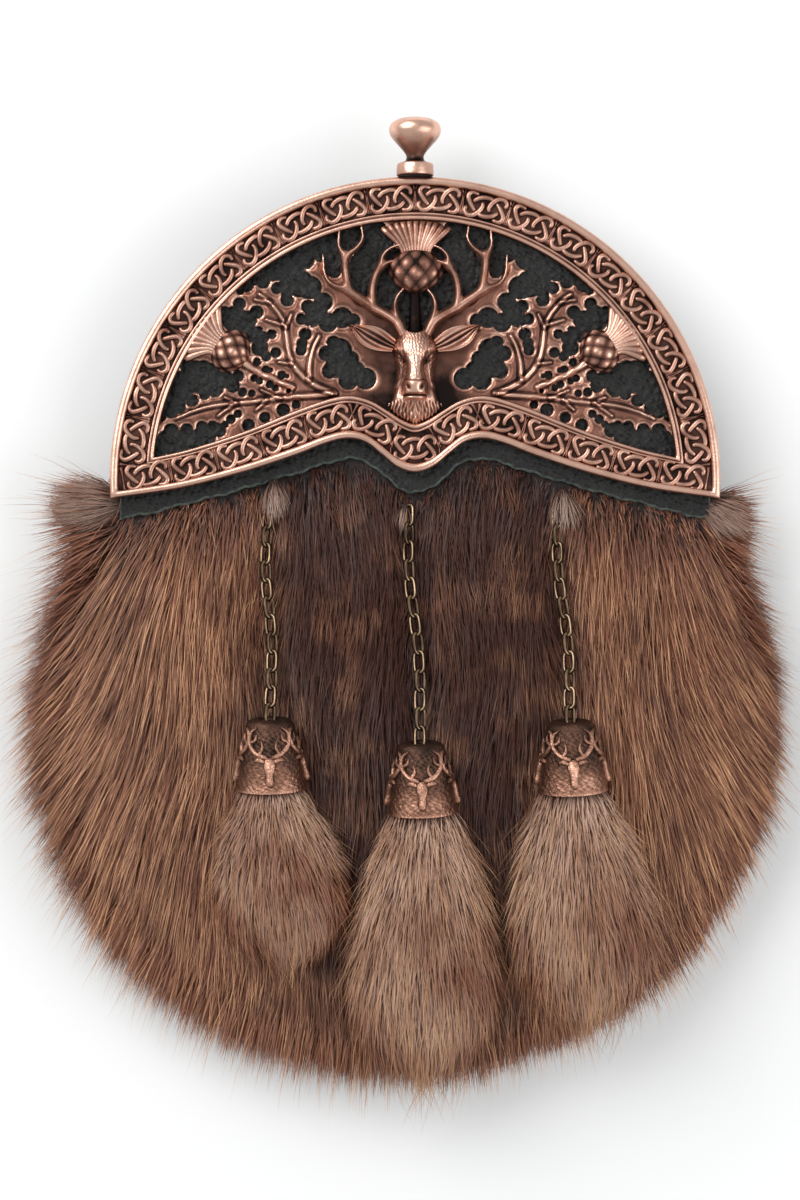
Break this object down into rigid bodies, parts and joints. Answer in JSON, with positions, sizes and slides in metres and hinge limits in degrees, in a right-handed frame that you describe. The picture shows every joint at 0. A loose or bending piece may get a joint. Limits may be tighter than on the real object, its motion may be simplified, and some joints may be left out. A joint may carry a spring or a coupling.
{
  "type": "sporran pouch",
  "caption": "Dress sporran: a leather pouch with a fur front, a pierced antique copper cantle with a stag and thistles, a turned knob, and fur tassels on chains",
  "frame": {"origin": "on the flat outer face of the back panel, on the cantle's centre line", "axes": "+Y from the fur's lower edge to the knob, +Z out of the fur front, +X to the viewer's right of the front; the part lies on its back"},
  "size_m": [0.1931, 0.2424, 0.0449],
  "materials": {
    "black_leather": "pebbled, matt",
    "brown_fur": "long soft fur",
    "antique_copper": "antiqued, polished on the high places",
    "chain_brass": "antiqued wire",
    "dark_copper": "antiqued, hammered ground",
    "tassel_fur": "long soft fur"
  },
  "bodies": {
    "root": {"back_panel": "black_leather", "gusset": "black_leather", "fur_front": "brown_fur", "leather_facing": "black_leather", "cantle": "antique_copper", "knob": "antique_copper", "chain_left": "chain_brass", "chain_middle": "chain_brass", "chain_right": "chain_brass", "cap_left": "dark_copper", "cap_middle": "dark_copper", "cap_right": "dark_copper", "tassel_left": "tassel_fur", "tassel_middle": "tassel_fur", "tassel_right": "tassel_fur"}
  },
  "joints": []
}
